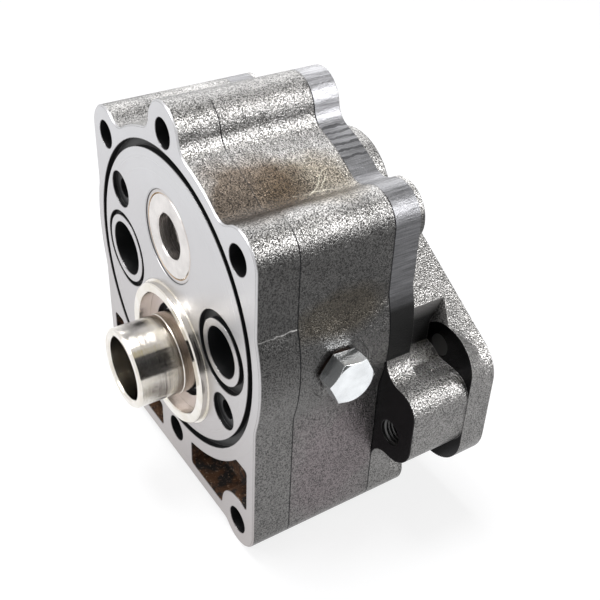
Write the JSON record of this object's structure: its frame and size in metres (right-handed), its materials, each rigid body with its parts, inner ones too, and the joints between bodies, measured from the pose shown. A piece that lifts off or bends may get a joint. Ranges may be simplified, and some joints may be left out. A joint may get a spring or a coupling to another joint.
{
  "type": "transmission pump",
  "caption": "Cast-iron external gear pump for a transmission, with a hollow splined drive shaft, a pilot ring, face ports and a rear port flange.",
  "frame": {"origin": "where the drive shaft's axis meets the mounting face, at the centre of the pilot ring", "axes": "-Y points out of the mounting face along the drive shaft, +Z from the drive gear to the driven gear, +X towards the test plug and the port flange"},
  "size_m": [0.1727, 0.13, 0.1911],
  "materials": {
    "cast_cover": "machined face, cast sides",
    "cast_housing": "as cast, oiled",
    "cast_rear": "as cast, plate edge ground",
    "polished_steel": "polished",
    "ground_steel": "ground",
    "gear_steel": "ground teeth",
    "key_steel": "drawn",
    "spring_steel": "phosphated",
    "dowel_steel": "ground",
    "pressed_steel": "pressed",
    "black_steel": "black oxide",
    "bush_bronze": "bored bronze on steel",
    "zinc_plate": "bright zinc plate",
    "copper": "soft copper"
  },
  "bodies": {
    "housing": {"gear_housing": "cast_housing", "front_cover": "cast_cover", "rear_cover": "cast_rear", "pilot_ring": "polished_steel", "front_drive_bush": "bush_bronze", "rear_drive_bush": "bush_bronze", "front_driven_bush": "bush_bronze", "rear_driven_bush": "bush_bronze", "front_dowels": "dowel_steel", "rear_dowels": "dowel_steel", "assembly_screws": "black_steel", "screw_washers": "black_steel", "test_plug": "zinc_plate", "test_plug_seal": "copper"},
    "drive_rotor": {"drive_shaft": "polished_steel", "drive_gear": "gear_steel", "drive_key": "key_steel", "drive_snap_rings": "spring_steel", "drive_shaft_plug": "pressed_steel"},
    "driven_rotor": {"driven_shaft": "ground_steel", "driven_gear": "gear_steel", "driven_key": "key_steel", "driven_snap_rings": "spring_steel"}
  },
  "joints": [
    {"name": "drive_spin", "type": "hinge", "parent": "housing", "child": "drive_rotor", "pos_m": [0, 0, 0], "axis": [0, 1, 0], "continuous": true},
    {"name": "driven_spin", "type": "hinge", "parent": "housing", "child": "driven_rotor", "pos_m": [0, 0, 0.06096], "axis": [0, 1, 0], "continuous": true}
  ],
  "couplings": [
    {"joint": "driven_spin", "follows": "drive_spin", "ratio": -1}
  ]
}
